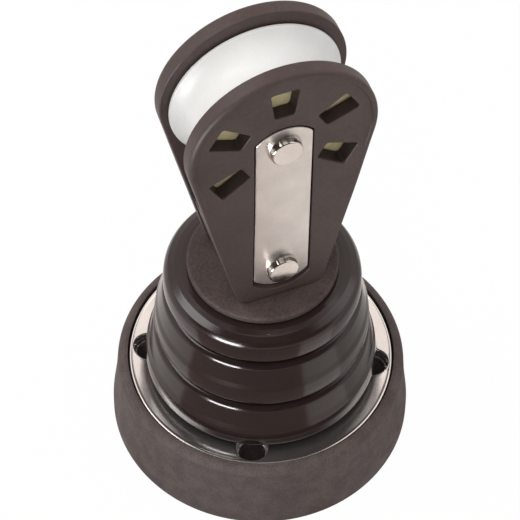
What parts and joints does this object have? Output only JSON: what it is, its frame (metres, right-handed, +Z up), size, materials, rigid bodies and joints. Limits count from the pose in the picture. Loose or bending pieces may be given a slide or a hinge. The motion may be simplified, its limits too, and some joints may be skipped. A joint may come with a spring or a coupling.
{
  "type": "stand-up block",
  "caption": "Stand-up sheave block: a swivelling cheek block held upright on a flexible boot over a toggle, on a rubber base with a countersunk plate.",
  "frame": {"origin": "centre of the round base, on its underside", "axes": "+Z up through the base and the swivel, +Y along the sheave's axle towards the rear cheek, +X across the cheeks; the front cheek faces -Y"},
  "size_m": [0.062, 0.062, 0.1178],
  "materials": {
    "base_rubber": "matt, fine grain",
    "boot_rubber": "glossy moulded",
    "cheek_plastic": "satin moulded",
    "disc_plastic": "matt, fine grain",
    "sheave_white": "smooth, slightly waxy",
    "plate_steel": "polished stainless steel",
    "strap_steel": "satin stainless steel",
    "bright_steel": "polished stainless steel"
  },
  "bodies": {
    "base": {"base_ring": "base_rubber", "base_plate": "plate_steel", "boot": "boot_rubber", "deck_eye": "bright_steel", "deck_eye_washer": "bright_steel", "deck_eye_nut": "bright_steel", "lower_pin": "bright_steel"},
    "link": {"toggle_link": "bright_steel"},
    "head": {"swivel_fork": "bright_steel", "swivel_nut": "bright_steel", "upper_pin": "bright_steel", "top_disc": "disc_plastic"},
    "block": {"swivel_eye": "bright_steel", "foot_spacer": "cheek_plastic", "front_cheek": "cheek_plastic", "rear_cheek": "cheek_plastic", "front_strap": "strap_steel", "rear_strap": "strap_steel", "axle_rivet": "bright_steel", "lower_rivet": "bright_steel", "axle_bush": "bright_steel"},
    "sheave": {"sheave": "sheave_white"}
  },
  "joints": [
    {"name": "lower_tilt", "type": "hinge", "parent": "base", "child": "link", "pos_m": [0, 0, 0.025], "axis": [0, 1, 0], "range_deg": [-35, 35], "stiffness_Nm_per_rad": 0.8, "deforming": ["boot"]},
    {"name": "upper_tilt", "type": "hinge", "parent": "link", "child": "head", "pos_m": [0, 0, 0.0345], "axis": [1, 0, 0], "range_deg": [-35, 35], "stiffness_Nm_per_rad": 0.8},
    {"name": "swivel", "type": "hinge", "parent": "head", "child": "block", "pos_m": [0, 0, 0.0512], "axis": [0, 0, 1], "continuous": true},
    {"name": "sheave_spin", "type": "hinge", "parent": "block", "child": "sheave", "pos_m": [0, 0, 0.0975], "axis": [0, 1, 0], "continuous": true}
  ]
}
